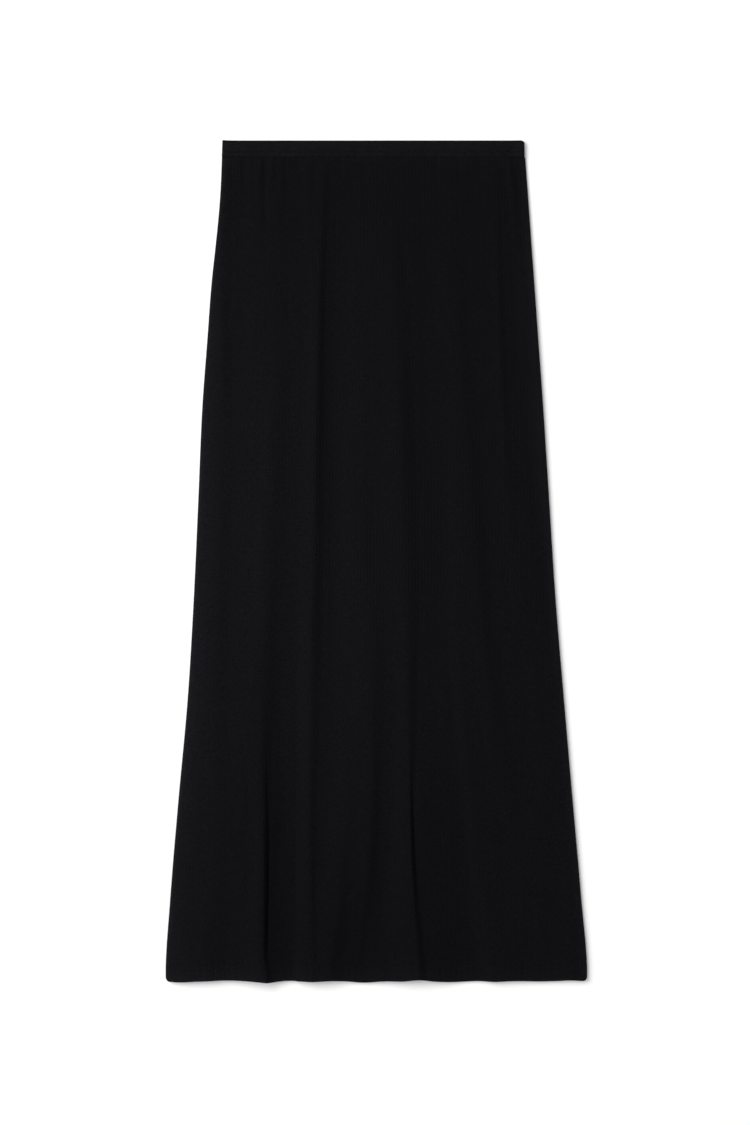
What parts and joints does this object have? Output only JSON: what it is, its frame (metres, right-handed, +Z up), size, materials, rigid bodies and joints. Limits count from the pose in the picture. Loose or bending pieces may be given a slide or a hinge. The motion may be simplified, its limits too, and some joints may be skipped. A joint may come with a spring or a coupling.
{
  "type": "midi skirt",
  "caption": "Slim A-line midi skirt in fine black rib jersey with a narrow elastic waistband, laid flat in soft lengthwise folds.",
  "frame": {"origin": "on the surface the skirt lies on, under the middle of its outline", "axes": "+Y from the hem towards the waist, +Z up through the front panel, +X to the right seen from above"},
  "size_m": [0.4632, 0.923, 0.0161],
  "materials": {
    "jersey": "fine rib jersey, matt black with a faint sheen",
    "band": "the same jersey drawn smooth over elastic"
  },
  "bodies": {
    "root": {"front_panel": "jersey", "back_panel": "jersey", "waistband": "band"}
  },
  "joints": []
}
